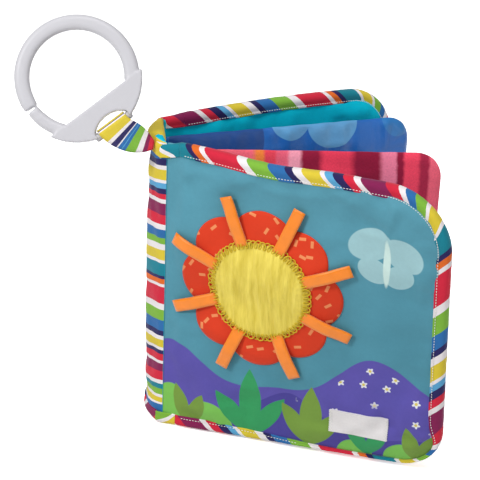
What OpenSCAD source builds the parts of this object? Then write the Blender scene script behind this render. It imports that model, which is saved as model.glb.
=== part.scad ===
// Soft cloth book, standing fanned open, with a split ring on a ribbon strap.
// The origin is the middle of the spine's lower end. +X runs from the spine to
// the fore-edge of the closed book, +Y away from the front cover, +Z up.

/* [Covers] */
// Height of each cover
cover_h = 150; // [120:1:190]
// Width of each cover, from its hinge line to its fore-edge
cover_w = 139.5; // [115:0.5:180]
// Thickness of a cover across its taped edge
cover_t = 6.5; // [5:0.1:8]
// Radius of the fore-edge corner at the top
corner_top = 25; // [12:1:30]
// Radius of the fore-edge corner at the bottom
corner_bottom = 20; // [12:1:30]
// Angle between each cover and the book's middle plane
cover_angle = 26; // [20:1:40]
// Thickness of every outer and inner cloth
cloth_t = 0.8; // [0.5:0.1:1]

/* [Leaves] */
// How much shorter a leaf is than a cover at the fore-edge
leaf_inset = 6; // [3:0.5:12]
// How far a leaf's top edge lies below the cover's
leaf_drop = 8; // [4:0.5:14]
// Height of a leaf's lower edge above the ground
leaf_lift = 6; // [3:0.5:12]
// Thickness of a leaf
leaf_t = 8; // [6:0.1:9]
// Radius of a leaf's fore-edge corners
leaf_corner = 13; // [6:1:20]
// Angle of the red leaf from the book's middle plane
leaf_1_angle = -2.2; // [-6:0.2:2]
// Angle of the blue leaf from the book's middle plane
leaf_2_angle = 16.4; // [12:0.2:18]

/* [Spine] */
// Distance between neighbouring hinge lines
panel_pitch = 11.9; // [11:0.1:15]
// How far the spine bulges behind its inner cloth
spine_depth = 7; // [5:0.1:10]
// Width of the flat fold beside each hinge line, where there is no padding
fold_w = 8; // [6.5:0.5:12]
// Thickness of that fold
fold_t = 2.5; // [1.8:0.1:3]
// Clearance between pieces that move past each other
clear = 0.35; // [0.3:0.05:0.6]

/* [Tape] */
// Width of the binding tape on each face
tape_w = 6.5; // [4:0.5:10]
// Thickness of the binding tape
tape_t = 0.75; // [0.4:0.05:1]
// Distance from the hinge line to the end of a cover's tape
tape_start = 9; // [8:0.5:16]

/* [Flower] */
// Distance of the flower's middle from the hinge line
flower_x = 50.5; // [49:0.5:60]
// Height of the flower's middle above the cover's middle
flower_rise = 11; // [-5:1:15]
// Number of petals
petals = 8; // [6:1:9]
// Radius of a petal's round end
petal_r = 15.5; // [13:0.5:18]
// Distance of a petal's round end from the flower's middle
petal_out = 25; // [20:0.5:27]
// Diameter of the flower's padded middle
centre_d = 50; // [40:1:52]
// Thickness of the flower's padded middle
centre_t = 3; // [2:0.5:6]
// Number of ribbon tabs
tabs = 8; // [8]
// Width of a ribbon tab
tab_w = 6; // [4:0.5:8]
// Distance of a tab's tip from the flower's middle
tab_tip = 48; // [44:0.5:50]
// Turn of the first tab from the book's long direction
tab_turn = 22.5; // [0:0.5:45]
// Thickness of ribbon, and of the petal cloth
ribbon_t = 0.8; // [0.5:0.1:1.2]

/* [Label] */
// Length of the woven label
label_w = 29; // [20:1:36]
// Height of the woven label
label_h = 12.5; // [8:0.5:16]
// Distance of the label from the cover's fore-edge
label_in = 25; // [20:1:40]
// Distance of the label from the cover's lower edge
label_up = 16; // [10:1:22]

/* [Ring] */
// Outer diameter of the split ring
ring_d = 59; // [50:1:70]
// Width of the ring's band
band_w = 7.4; // [6:0.1:8]
// Thickness of the ring's band
band_t = 5.6; // [4:0.1:5.7]
// Width of the thinner arm beside the split
arm_w = 6.3; // [5.8:0.1:6.5]
// Thickness of the ring's plate
plate_t = 6; // [4:0.1:7]
// How far the plate stands out past the band
plate_out = 1.2; // [0.5:0.1:2.5]
// Distance of the plate's straight edge from the ring's middle
chord_at = 15.1; // [12:0.1:17]
// Diameter of the bar that the strap is looped round
bar_d = 3.9; // [3:0.1:4.2]
// Depth of the slot behind the bar
slot_depth = 4; // [3.7:0.1:5]
// Length of the slot beyond the strap at each side
slot_spare = 1.6; // [1.5:0.1:3]
// How far the ring leans back from upright
ring_lean = 22; // [0:1:40]
// Turn of the ring about the upright
ring_turn = -6; // [-20:1:20]
// Slope of the slot across the ring
ring_slope = 39; // [25:1:50]

/* [Strap] */
// Width of the ribbon strap at the bar
strap_w = 15.5; // [10:0.5:16]
// Width of the strap where it is sewn in
strap_end_w = 4; // [3:0.5:8]
// Reach of the strap across the slot's slope, from the bar to its sewn end
strap_side = 9.7; // [5:0.1:12]
// Length of the strap straight down from the bar
strap_run = 17.9; // [14:0.1:24]
// Distance of the sewn end from the book's middle plane
strap_y = 13; // [8:0.5:15]
// Distance of the sewn end below the spine's top
strap_down = 4; // [3:0.5:8]

/* [Hidden] */
$fn = 72;

// How much one solid runs past another where it cuts it
past = 1;

// The spine's section is the part of a circle that lies behind its inner cloth
spine_half = 1.5 * panel_pitch + fold_t / 2 + 0.5;
spine_r = (spine_half * spine_half + spine_depth * spine_depth) / (2 * spine_depth);
spine_in = spine_depth / 2;
spine_cx = spine_r - spine_depth / 2;
hinge_x = spine_in + fold_t / 2 + clear;
cover_hinge_y = 1.5 * panel_pitch;
leaf_hinge_y = panel_pitch / 2;

// The padded core of a cover, inside its tape
core_t = cover_t - 2 * tape_t;
fold_ramp = 3;
leaf_w = cover_w - leaf_inset;
flower_z = cover_h / 2 + flower_rise;
cloth_face = core_t / 2;

// The ring's bar lies along X of the ring's own frame, and +Y there points to the ring's middle
plate_r = ring_d / 2 + plate_out;
bar_out = plate_r - bar_d / 2;
band_r = ring_d / 2 - band_w / 2;
slot_half = strap_w / 2 + slot_spare;
slot_sag = slot_depth;
slot_r = (slot_half * slot_half + slot_sag * slot_sag) / (2 * slot_sag);
split_at = 179;
split_half = 1.2;

// The strap is looped round the bar with a little room, and both layers meet at the sewn end
loop_r = bar_d / 2 + 0.3 + ribbon_t / 2;
strap_gap = ribbon_t + 0.2;
strap_off = 0.5;
strap_base = [
    spine_cx - sqrt(pow(spine_r + tape_t, 2) - strap_y * strap_y) - strap_off,
    -strap_y,
    cover_h - strap_down
];
strap_back = -3.9;
leg_steps = 10;
loop_steps = 8;

// Colours of the spine's stripes from the bottom up, with each stripe's share of the height
WHITE = [0.93, 0.92, 0.88];
RED = [0.80, 0.10, 0.14];
MAROON = [0.48, 0.06, 0.24];
NAVY = [0.12, 0.11, 0.33];
BLUE = [0.16, 0.42, 0.72];
TEAL = [0.05, 0.55, 0.62];
GREEN = [0.45, 0.70, 0.22];
YELLOW = [0.93, 0.80, 0.20];
ORANGE = [0.93, 0.50, 0.13];
STRIPES = [
    [RED, 3], [MAROON, 2], [WHITE, 1], [YELLOW, 3], [WHITE, 1], [NAVY, 2], [BLUE, 3], [GREEN, 2], [WHITE, 1],
    [RED, 3], [MAROON, 2], [WHITE, 1], [ORANGE, 2], [NAVY, 2], [TEAL, 3], [WHITE, 1], [YELLOW, 3], [WHITE, 1],
    [NAVY, 1], [BLUE, 3], [GREEN, 2], [WHITE, 1], [RED, 3], [MAROON, 2], [WHITE, 1], [BLUE, 3]
];
function share(i) = i < 0 ? 0 : STRIPES[i][1] + share(i - 1);
stripe_unit = (cover_h - 2 * tape_t) / share(len(STRIPES) - 1);
// Stripes run into each other a little, so that the cloth is one solid
stripe_lap = 0.01;

// Panel outlines

// A plate's outline in the plane of the panel, rounded at the fore-edge only
module panel_outline(x0, x1, z0, z1, r_top, r_bottom) {
    difference() {
        translate([x0, z0]) square([x1 - x0, z1 - z0]);
        translate([x1 - r_top, z1 - r_top]) square(r_top + past);
        translate([x1 - r_bottom, z0 - past]) square([r_bottom + past, r_bottom + past]);
    }
    translate([x1 - r_top, z1 - r_top]) circle(r_top);
    translate([x1 - r_bottom, z0 + r_bottom]) circle(r_bottom);
}

// The outline as a slab, centred on the panel's middle plane
module panel_slab(x0, x1, z0, z1, r_top, r_bottom, t) {
    translate([0, t / 2, 0])
        rotate([90, 0, 0])
            linear_extrude(t) panel_outline(x0, x1, z0, z1, r_top, r_bottom);
}

// Plan of one face cloth: half of the fold, a ramp, then the flat face at distance c from the middle plane
module cloth_plan(x1, c) {
    flat_x = fold_w;
    ramp_x = fold_w - fold_ramp;
    translate([0, -fold_t / 2]) square([ramp_x, fold_t / 2]);
    difference() {
        circle(fold_t / 2);
        translate([-fold_t, 0]) square([2 * fold_t, fold_t]);
    }
    polygon([
        [ramp_x, -fold_t / 2], [flat_x, -c], [x1, -c],
        [x1, -c + cloth_t], [flat_x, -c + cloth_t], [ramp_x, 0]
    ]);
}

// Plan of the padding between two face cloths
module batting_plan(x1, c) {
    polygon([
        [fold_w - fold_ramp, 0], [fold_w, -c + cloth_t], [x1, -c + cloth_t],
        [x1, c - cloth_t], [fold_w, c - cloth_t]
    ]);
}

// side is -1 for the face towards the front cover and 1 for the other
module face_cloth(x1, z0, z1, r_top, r_bottom, c, side) {
    intersection() {
        translate([0, 0, z0])
            linear_extrude(z1 - z0)
                mirror([0, side > 0 ? 1 : 0]) cloth_plan(x1, c);
        panel_slab(-fold_t, x1, z0, z1, r_top, r_bottom, 2 * c + 2 * past);
    }
}

module batting(x1, z0, z1, r_top, r_bottom, c) {
    intersection() {
        translate([0, 0, z0]) linear_extrude(z1 - z0) batting_plan(x1, c);
        panel_slab(0, x1, z0, z1, r_top, r_bottom, 2 * c + 2 * past);
    }
}

// Covers

module at_front() {
    translate([hinge_x, -cover_hinge_y, 0]) rotate([0, 0, -cover_angle]) children();
}

module at_back() {
    translate([hinge_x, cover_hinge_y, 0]) rotate([0, 0, cover_angle]) children();
}

module cover_cloth(side) {
    face_cloth(
        cover_w - tape_t, tape_t, cover_h - tape_t,
        corner_top - tape_t, corner_bottom - tape_t, core_t / 2, side
    );
}

module cover_batting() {
    batting(
        cover_w - tape_t, tape_t, cover_h - tape_t,
        corner_top - tape_t, corner_bottom - tape_t, core_t / 2
    );
}

// The tape folds over the cover's top, fore-edge and bottom
module cover_binding() {
    difference() {
        panel_slab(tape_start, cover_w, 0, cover_h, corner_top, corner_bottom, cover_t);
        panel_slab(
            tape_start - past, cover_w - tape_t, tape_t, cover_h - tape_t,
            corner_top - tape_t, corner_bottom - tape_t, core_t
        );
        panel_slab(
            tape_start - past, cover_w - tape_w, tape_w, cover_h - tape_w,
            corner_top - tape_w, corner_bottom - tape_w, cover_t + 2 * past
        );
    }
}

module front_cloth() {
    color([0.33, 0.68, 0.83]) at_front() cover_cloth(-1);
}

module front_batting() {
    color(WHITE) at_front() cover_batting();
}

module front_lining() {
    color([0.05, 0.62, 0.68]) at_front() cover_cloth(1);
}

module front_binding() {
    color(RED) at_front() cover_binding();
}

module back_cloth() {
    color([0.33, 0.68, 0.83]) at_back() cover_cloth(1);
}

module back_batting() {
    color(WHITE) at_back() cover_batting();
}

module back_lining() {
    color([0.05, 0.62, 0.68]) at_back() cover_cloth(-1);
}

module back_binding() {
    color(RED) at_back() cover_binding();
}

// Pieces sewn on the front cover

// Puts a flat piece on the cover's outer face: X and Y of the piece lie in the face, and Z points out of it
module on_front(x, z, out) {
    at_front() translate([x, -cloth_face - out, z]) rotate([90, 0, 0]) children();
}

module petal_disc() {
    color([0.90, 0.27, 0.12]) on_front(flower_x, flower_z, 0) linear_extrude(ribbon_t) {
        circle(petal_out + petal_r / 3);
        for (i = [0 : petals - 1])
            rotate(i * 360 / petals) translate([petal_out, 0]) circle(petal_r);
    }
}

module flower_centre() {
    r = centre_d / 2;
    color([0.97, 0.86, 0.30]) on_front(flower_x, flower_z, ribbon_t) rotate_extrude()
        polygon([[0, 0], [r, 0], [r, centre_t * 0.4], [r * 0.85, centre_t * 0.85], [r * 0.5, centre_t], [0, centre_t]]);
}

module tab(i) {
    start = centre_d / 2 + 0.2;
    color([0.95, 0.55, 0.12]) on_front(flower_x, flower_z, ribbon_t)
        rotate([0, 0, tab_turn + (i - 1) * 360 / tabs])
            translate([start, -tab_w / 2, 0]) cube([tab_tip - start, tab_w, ribbon_t]);
}

module label() {
    color(WHITE) on_front(cover_w - label_in - label_w, label_up, 0) cube([label_w, label_h, ribbon_t]);
}

// Leaves

module at_leaf_1() {
    translate([hinge_x, -leaf_hinge_y, 0]) rotate([0, 0, leaf_1_angle]) children();
}

module at_leaf_2() {
    translate([hinge_x, leaf_hinge_y, 0]) rotate([0, 0, leaf_2_angle]) children();
}

module leaf_cloth(side) {
    face_cloth(leaf_w, leaf_lift, cover_h - leaf_drop, leaf_corner, leaf_corner, leaf_t / 2, side);
}

module leaf_batting() {
    batting(leaf_w, leaf_lift, cover_h - leaf_drop, leaf_corner, leaf_corner, leaf_t / 2);
}

module red_front() {
    color([0.85, 0.14, 0.28]) at_leaf_1() leaf_cloth(-1);
}

module red_batting() {
    color(WHITE) at_leaf_1() leaf_batting();
}

module red_back() {
    color([0.93, 0.45, 0.60]) at_leaf_1() leaf_cloth(1);
}

module blue_front() {
    color([0.10, 0.45, 0.78]) at_leaf_2() leaf_cloth(-1);
}

module blue_batting() {
    color(WHITE) at_leaf_2() leaf_batting();
}

module blue_back() {
    color([0.20, 0.55, 0.82]) at_leaf_2() leaf_cloth(1);
}

// Spine

// The spine's section out to radius r, behind x
module spine_plan(r, x) {
    intersection() {
        translate([spine_cx, 0]) circle(r, $fn = 180);
        translate([-spine_r, -spine_r]) square([spine_r + x, 2 * spine_r]);
    }
}

module spine_shell() {
    difference() {
        spine_plan(spine_r, spine_in);
        translate([spine_cx, 0]) circle(spine_r - cloth_t, $fn = 180);
    }
}

module spine_cloth() {
    last = len(STRIPES) - 1;
    for (i = [0 : last])
        color(STRIPES[i][0])
            translate([0, 0, tape_t + share(i - 1) * stripe_unit])
                linear_extrude(STRIPES[i][1] * stripe_unit + (i < last ? stripe_lap : 0)) spine_shell();
}

module spine_batting() {
    color(WHITE) translate([0, 0, tape_t]) linear_extrude(cover_h - 2 * tape_t)
        spine_plan(spine_r - cloth_t, spine_in - cloth_t);
}

module spine_lining() {
    color([0.05, 0.62, 0.68]) translate([0, 0, tape_t]) linear_extrude(cover_h - 2 * tape_t) difference() {
        spine_plan(spine_r - cloth_t, spine_in);
        spine_plan(spine_r, spine_in - cloth_t);
    }
}

// The tape on one end of the spine: a band round the outside and a fold over the end
module spine_tape() {
    linear_extrude(tape_w) difference() {
        spine_plan(spine_r + tape_t, spine_in);
        translate([spine_cx, 0]) circle(spine_r, $fn = 180);
    }
    linear_extrude(tape_t) spine_plan(spine_r + tape_t, spine_in);
}

module spine_tape_bottom() {
    color(GREEN) spine_tape();
}

module spine_tape_top() {
    color(YELLOW) translate([0, 0, cover_h]) mirror([0, 0, 1]) spine_tape();
}

// Ring and strap

// Turns of the ring's frame, as direction vectors of its three axes
function ring_right() = [cos(ring_turn), sin(ring_turn), 0];
function ring_up() = [-sin(ring_turn) * sin(ring_lean), cos(ring_turn) * sin(ring_lean), cos(ring_lean)];
ring_x = cos(ring_slope) * ring_right() + sin(ring_slope) * ring_up();
ring_y = cos(ring_slope) * ring_up() - sin(ring_slope) * ring_right();
ring_z = cross(ring_x, ring_y);

// The bar lies where the strap leads from its sewn end
bar_at = strap_base - strap_side * ring_x + strap_run * ring_y - strap_back * ring_z;

module at_ring() {
    translate(bar_at)
        rotate([0, 0, ring_turn])
            rotate([90 - ring_lean, 0, 0])
                rotate([0, 0, ring_slope]) children();
}

// Section of the band: flat in its middle, with half-round sides
module band_section(w) {
    square([w - band_t, band_t], center = true);
    for (s = [-1, 1]) translate([s * (w - band_t) / 2, 0]) circle(band_t / 2);
}

// An arc of the band between two angles
module band_arc(a0, a1, w) {
    rotate(a0) rotate_extrude(angle = a1 - a0) translate([band_r, 0]) band_section(w);
}

module plate_plan() {
    intersection() {
        circle(plate_r, $fn = 144);
        translate([-plate_r, -plate_r]) square([2 * plate_r, plate_r - chord_at]);
    }
}

// The opening behind the bar, with its straight side on the bar
module slot_plan() {
    straight = bar_out - bar_d / 2;
    intersection() {
        translate([0, -straight + slot_sag - slot_r]) circle(slot_r);
        translate([-slot_half, -straight]) square([2 * slot_half, slot_sag]);
    }
    translate([-slot_half, -plate_r - past]) square([2 * slot_half, plate_r + past - straight + 0.01]);
}

module ring() {
    meet = asin(chord_at / band_r) + 4;
    color([0.90, 0.90, 0.92]) at_ring() translate([0, bar_out, 0]) {
        band_arc(-meet, split_at - split_half, band_w);
        band_arc(split_at + split_half, 180 + meet, arm_w);
        translate([0, 0, -plate_t / 2]) linear_extrude(plate_t) difference() {
            plate_plan();
            slot_plan();
        }
        translate([-slot_half - past, -bar_out, 0]) rotate([0, 90, 0])
            cylinder(d = bar_d, h = 2 * slot_half + 2 * past);
    }
}

// The strap's middle line: from the sewn end up the front layer, round the bar, and down the back layer.
// t is 0 at the bar and 1 at the sewn end, and side is 1 on the front layer and -1 on the back layer.
function leg_point(t, side) = [
    strap_side * pow(t, 1.5),
    -strap_run * t,
    side * (loop_r * pow(1 - t, 1.3) + strap_gap / 2 * t) + strap_back * t * t
];
function leg_across(t) = let (a = 45 * pow(t, 1.2)) [cos(a), sin(a), 0];
function leg_width(t) = strap_w + (strap_end_w - strap_w) * pow(t, 2.6);
function loop_point(a) = [0, loop_r * sin(a), loop_r * cos(a)];

strap_points = concat(
    [for (i = [leg_steps : -1 : 1]) leg_point(i / leg_steps, 1)],
    [for (i = [0 : loop_steps]) loop_point(i * 180 / loop_steps)],
    [for (i = [1 : leg_steps]) leg_point(i / leg_steps, -1)]
);
strap_across = concat(
    [for (i = [leg_steps : -1 : 1]) leg_across(i / leg_steps)],
    [for (i = [0 : loop_steps]) [1, 0, 0]],
    [for (i = [1 : leg_steps]) leg_across(i / leg_steps)]
);
strap_widths = concat(
    [for (i = [leg_steps : -1 : 1]) leg_width(i / leg_steps)],
    [for (i = [0 : loop_steps]) strap_w],
    [for (i = [1 : leg_steps]) leg_width(i / leg_steps)]
);

function unit(v) = v / norm(v);
function along(p, i) = unit(p[min(i + 1, len(p) - 1)] - p[max(i - 1, 0)]);

// A flat strip of thickness t along points p, with its own width and cross direction at each point
module strip(p, across, widths, t) {
    n = len(p);
    corners = [for (i = [0 : n - 1])
        let (
            w = across[i] * widths[i] / 2,
            out = unit(cross(along(p, i), across[i])) * t / 2
        )
        each [p[i] - w - out, p[i] + w - out, p[i] + w + out, p[i] - w + out]
    ];
    sides = [for (i = [0 : n - 2], k = [0 : 3]) let (j = (k + 1) % 4)
        each [
            [4 * i + k, 4 * i + j, 4 * i + 4 + j],
            [4 * i + k, 4 * i + 4 + j, 4 * i + 4 + k]
        ]
    ];
    last = 4 * (n - 1);
    polyhedron(corners, concat([[3, 2, 1, 0]], sides, [[last, last + 1, last + 2, last + 3]]), convexity = 6);
}

module strap() {
    color(YELLOW) at_ring() strip(strap_points, strap_across, strap_widths, ribbon_t);
}

spine_cloth();
spine_batting();
spine_lining();
spine_tape_top();
spine_tape_bottom();
strap();
front_cloth();
front_batting();
front_lining();
front_binding();
petal_disc();
flower_centre();
tab(1);  // tab_1
tab(2);  // tab_2
tab(3);  // tab_3
tab(4);  // tab_4
tab(5);  // tab_5
tab(6);  // tab_6
tab(7);  // tab_7
tab(8);  // tab_8
label();
back_cloth();
back_batting();
back_lining();
back_binding();
red_front();
red_batting();
red_back();
blue_front();
blue_batting();
blue_back();
ring();
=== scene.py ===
import math

import bmesh
import bpy
import numpy as np
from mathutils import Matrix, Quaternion, Vector, noise
from mathutils.bvhtree import BVHTree


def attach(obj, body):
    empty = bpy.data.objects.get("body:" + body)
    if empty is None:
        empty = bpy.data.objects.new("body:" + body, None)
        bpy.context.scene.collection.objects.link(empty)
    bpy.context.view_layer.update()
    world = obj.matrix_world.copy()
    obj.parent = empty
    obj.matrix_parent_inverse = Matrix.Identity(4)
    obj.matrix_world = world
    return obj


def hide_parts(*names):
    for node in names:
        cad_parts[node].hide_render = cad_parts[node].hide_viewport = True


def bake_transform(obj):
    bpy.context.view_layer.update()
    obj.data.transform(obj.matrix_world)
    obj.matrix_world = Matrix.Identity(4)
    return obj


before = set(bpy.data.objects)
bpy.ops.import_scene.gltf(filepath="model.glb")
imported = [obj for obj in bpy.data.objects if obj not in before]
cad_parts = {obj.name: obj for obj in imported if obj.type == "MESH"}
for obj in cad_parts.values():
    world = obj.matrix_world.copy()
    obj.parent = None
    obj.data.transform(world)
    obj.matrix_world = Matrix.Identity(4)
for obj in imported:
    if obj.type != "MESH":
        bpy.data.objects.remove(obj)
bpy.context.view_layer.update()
MM = 0.001

# Camera

LOOK = Vector((42.27, 0.0, 92.25)) * MM
AZ, PITCH, ROLL, DIST = math.radians(-6.455), math.radians(21.813), math.radians(2.239), 0.70707
back = Vector((math.sin(AZ) * math.cos(PITCH), -math.cos(AZ) * math.cos(PITCH), math.sin(PITCH)))
cam_data = bpy.data.cameras.new("camera")
cam_data.sensor_width = 36.0
cam_data.lens = 106.56
cam_data.clip_start = 0.01
camera = bpy.data.objects.new("camera", cam_data)
bpy.context.scene.collection.objects.link(camera)
camera.rotation_mode = "QUATERNION"
camera.rotation_quaternion = (-back).to_track_quat("-Z", "Y") @ Quaternion((0, 0, 1), ROLL)
camera.location = LOOK + back * DIST
bpy.context.scene.camera = camera


# Material nodes, written as sums

def linear(r, g, b):
    """A colour given in screen numbers from 0 to 255."""
    out = []
    for c in (r, g, b):
        c = c / 255
        out.append(c / 12.92 if c <= 0.04045 else ((c + 0.055) / 1.055) ** 2.4)
    return (*out, 1.0)


class Num:
    """A number, or a vector's part, in a material's nodes."""

    def __init__(self, mat, socket):
        self.mat = mat
        self.socket = socket

    def math(self, op, *others):
        node = self.mat.nodes.new("ShaderNodeMath")
        node.operation = op
        for i, value in enumerate((self, *others)):
            if isinstance(value, Num):
                self.mat.links.new(value.socket, node.inputs[i])
            else:
                node.inputs[i].default_value = value
        return Num(self.mat, node.outputs[0])

    def __add__(self, o): return self.math("ADD", o)
    __radd__ = __add__
    def __sub__(self, o): return self.math("SUBTRACT", o)
    def __rsub__(self, o): return self.math("MULTIPLY", -1.0).math("ADD", o)
    def __mul__(self, o): return self.math("MULTIPLY", o)
    __rmul__ = __mul__
    def __truediv__(self, o): return self.math("DIVIDE", o)
    def abs(self): return self.math("ABSOLUTE")
    def sin(self): return self.math("SINE")
    def cos(self): return self.math("COSINE")
    def sqrt(self): return self.math("SQRT")
    def exp(self): return self.math("EXPONENT")
    def frac(self): return self.math("FRACT")
    def high(self, o): return self.math("MAXIMUM", o)
    def turn(self, x): return self.math("ARCTAN2", x)

    def clamp(self):
        out = self.math("ADD", 0.0)
        out.socket.node.use_clamp = True
        return out

    def under(self, limit, soft=0.35):
        """1 where this number is less than the limit, with a soft edge."""
        return ((limit - self) / soft + 0.5).clamp()


class Mat:
    """A fabric or plastic material made of nodes."""

    def __init__(self, name, uv="Cloth"):
        self.material = bpy.data.materials.new(name)
        self.material.use_nodes = True
        self.tree = self.material.node_tree
        self.nodes, self.links = self.tree.nodes, self.tree.links
        self.bsdf = self.nodes["Principled BSDF"]
        if uv:
            node = self.nodes.new("ShaderNodeUVMap")
            node.uv_map = uv
            self.place = node.outputs[0]
        else:
            self.place = self.nodes.new("ShaderNodeTexCoord").outputs["Object"]
        parts = self.nodes.new("ShaderNodeSeparateXYZ")
        self.links.new(self.place, parts.inputs[0])
        self.u, self.v, self.w = (Num(self, parts.outputs[i]) for i in range(3))

    def vector(self, x, y, z=0.0):
        node = self.nodes.new("ShaderNodeCombineXYZ")
        for i, value in enumerate((x, y, z)):
            if isinstance(value, Num):
                self.links.new(value.socket, node.inputs[i])
            else:
                node.inputs[i].default_value = value
        return node.outputs[0]

    def noise(self, scale, detail=2.0, place=None, rough=0.5):
        node = self.nodes.new("ShaderNodeTexNoise")
        node.inputs["Scale"].default_value = scale
        node.inputs["Detail"].default_value = detail
        node.inputs["Roughness"].default_value = rough
        self.links.new(place or self.place, node.inputs["Vector"])
        return Num(self, node.outputs[0])

    def cells(self, scale):
        """Voronoi cells: the offset from the cell's point, and three random numbers of the cell."""
        node = self.nodes.new("ShaderNodeTexVoronoi")
        node.voronoi_dimensions = "2D"
        node.inputs["Scale"].default_value = scale
        self.links.new(self.place, node.inputs["Vector"])
        a = self.nodes.new("ShaderNodeSeparateXYZ")
        b = self.nodes.new("ShaderNodeSeparateXYZ")
        c = self.nodes.new("ShaderNodeSeparateColor")
        self.links.new(self.place, a.inputs[0])
        self.links.new(node.outputs["Position"], b.inputs[0])
        self.links.new(node.outputs["Color"], c.inputs[0])
        offset = [Num(self, a.outputs[i]) - Num(self, b.outputs[i]) for i in range(2)]
        return *offset, *(Num(self, c.outputs[i]) for i in range(3))

    def mix(self, factor, a, b, kind="MIX"):
        node = self.nodes.new("ShaderNodeMix")
        node.data_type = "RGBA"
        node.blend_type = kind
        for i, value in ((0, factor), (6, a), (7, b)):
            if isinstance(value, Num):
                self.links.new(value.socket, node.inputs[i])
            elif isinstance(value, (int, float, tuple)):
                node.inputs[i].default_value = value
            else:
                self.links.new(value, node.inputs[i])
        return node.outputs[2]

    def ramp(self, factor, stops, step=True):
        node = self.nodes.new("ShaderNodeValToRGB")
        ramp = node.color_ramp
        ramp.interpolation = "CONSTANT" if step else "LINEAR"
        for i, (at, colour) in enumerate(stops):
            item = ramp.elements[i] if i < 2 else ramp.elements.new(at)
            item.position = at
            item.color = colour
        self.links.new(factor.socket, node.inputs[0])
        return node.outputs[0]

    def shaded(self, colour, shade):
        """Sets the base colour, made lighter or darker by a number."""
        tone = self.mix(1.0, colour, self.vector(shade, shade, shade), "MULTIPLY")
        self.links.new(tone, self.bsdf.inputs["Base Color"])

    def mottle(self, scale, detail, depth):
        """A number near 1 that changes softly from place to place."""
        return (self.noise(scale, detail) - 0.5) * depth + 1.0

    def mm(self):
        """The place in mm, for materials without a cloth map."""
        return self.vector(self.u * 1000, self.v * 1000, self.w * 1000)

    def cloth(self, colour, weave=2.6, bump=0.25, rough=0.85, sheen=0.15, fade=0.12, specular=0.25, slub=0.0):
        """Finishes a woven cloth: threads, small changes of tone, and a soft surface."""
        u, v = self.u, self.v
        warp = (u * (2 * math.pi * weave)).sin()
        weft = (v * (2 * math.pi * weave)).sin()
        threads = warp * weft * 0.5 + 0.5
        tone = self.noise(0.045, 3.0) * 0.7 + self.noise(0.6, 2.0) * 0.3
        shade = (tone - 0.5) * (2 * fade) + 1.0 + (threads - 0.5) * 0.05
        if slub:
            streak = self.noise(1.0, 1.0, self.vector(u * 0.12, v * 2.2))
            shade = shade + (streak - 0.5) * slub
        self.shaded(colour, shade)
        height = threads * 0.5 + self.noise(1.6, 2.0) * 0.5
        self.finish(height, bump, 0.15, rough, sheen, specular)

    def finish(self, height, bump, distance, rough, sheen=0.0, specular=0.3):
        node = self.nodes.new("ShaderNodeBump")
        node.inputs["Strength"].default_value = bump
        node.inputs["Distance"].default_value = distance * MM
        self.links.new(height.socket, node.inputs["Height"])
        self.links.new(node.outputs[0], self.bsdf.inputs["Normal"])
        if isinstance(rough, Num):
            self.links.new(rough.socket, self.bsdf.inputs["Roughness"])
        else:
            self.bsdf.inputs["Roughness"].default_value = rough
        self.bsdf.inputs["Sheen Weight"].default_value = sheen
        self.bsdf.inputs["Sheen Roughness"].default_value = 0.4
        self.bsdf.inputs["Specular IOR Level"].default_value = specular


WHITE = linear(232, 226, 228)
RED = linear(206, 34, 60)
MAROON = linear(128, 24, 78)
NAVY = linear(34, 28, 84)
BLUE = linear(40, 104, 166)
LIGHT_BLUE = linear(88, 162, 206)
TEAL = linear(16, 124, 142)
GREEN = linear(122, 176, 58)
YELLOW = linear(214, 192, 54)
ORANGE = linear(222, 104, 34)

TONES = {
    "W": WHITE, "R": RED, "M": MAROON, "N": NAVY, "B": BLUE,
    "L": LIGHT_BLUE, "T": TEAL, "G": GREEN, "Y": YELLOW, "O": ORANGE
}


def stripes(text):
    """Reads stripes, each written as its colour's letter and its width in mm."""
    return [(TONES[word[0]], float(word[1:])) for word in text.split()]


# From the spine towards the fore-edge of the front cover
TAPE_STRIPES = stripes(
    "N3 O4 W3 R16.5 W5 G10.5 B8.5 N4 W4 Y9 W2.5 L4 N4.5 R5 W3.5 M12 R6 W3 B5.5 G6 W2 Y8 W2 T11"
)
# From the spine's top to its bottom
SPINE_STRIPES = stripes(
    "B6 N3 W2 Y5 W1.5 L2.5 N2.5 R2.5 W2 M5.5 R4.5 W2.5 B4 G3 W3 Y5 W1.5 T6 N1.5 O2.5 W1.5 "
    "R8.5 W3 G5.5 B5 N2.5 W2 Y4 W1.5 N2 R3.5 W1.5 M4 R4.5 W2 T2.5 G3 W1.5 Y2.5 W1"
)
# From the ring's bar to the spine
STRAP_STRIPES = stripes("Y1.8 N0.5 W0.6 Y4.6 W1.5 N2.2 W0.5 B1.4 L0.3 B1.3 G3.7 W2.6 M1.9 R4")


def striped(mat, along, table, waver=0.5):
    """Stripes that repeat along a number in mm. A ramp holds 32 colours at most, so long tables take two."""
    total = sum(width for tone, width in table)
    place = ((along + (mat.noise(0.12, 1.0) - 0.5) * waver) / total).frac()
    at, colour = 0.0, None
    for first in range(0, len(table), 24):
        begin, stops = at, []
        for tone, width in table[first:first + 24]:
            stops.append((at / total, tone))
            at += width
        more = mat.ramp(place, stops)
        colour = mat.mix(place.math("GREATER_THAN", begin / total), colour, more) if colour else more
    return colour


def span(x, z):
    return (x * x + z * z).sqrt()


def bell(x, middle, width):
    """A soft hump, 1 high."""
    return ((x - middle) / width * ((x - middle) / -width)).exp()


def blob(mat, cx, cz, rx, rz, soft=0.35):
    """1 inside an ellipse of the print."""
    x, z = (mat.u - cx) / rx, (mat.v - cz) / rz
    return span(x, z).under(1.0, soft / min(rx, rz))


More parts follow.
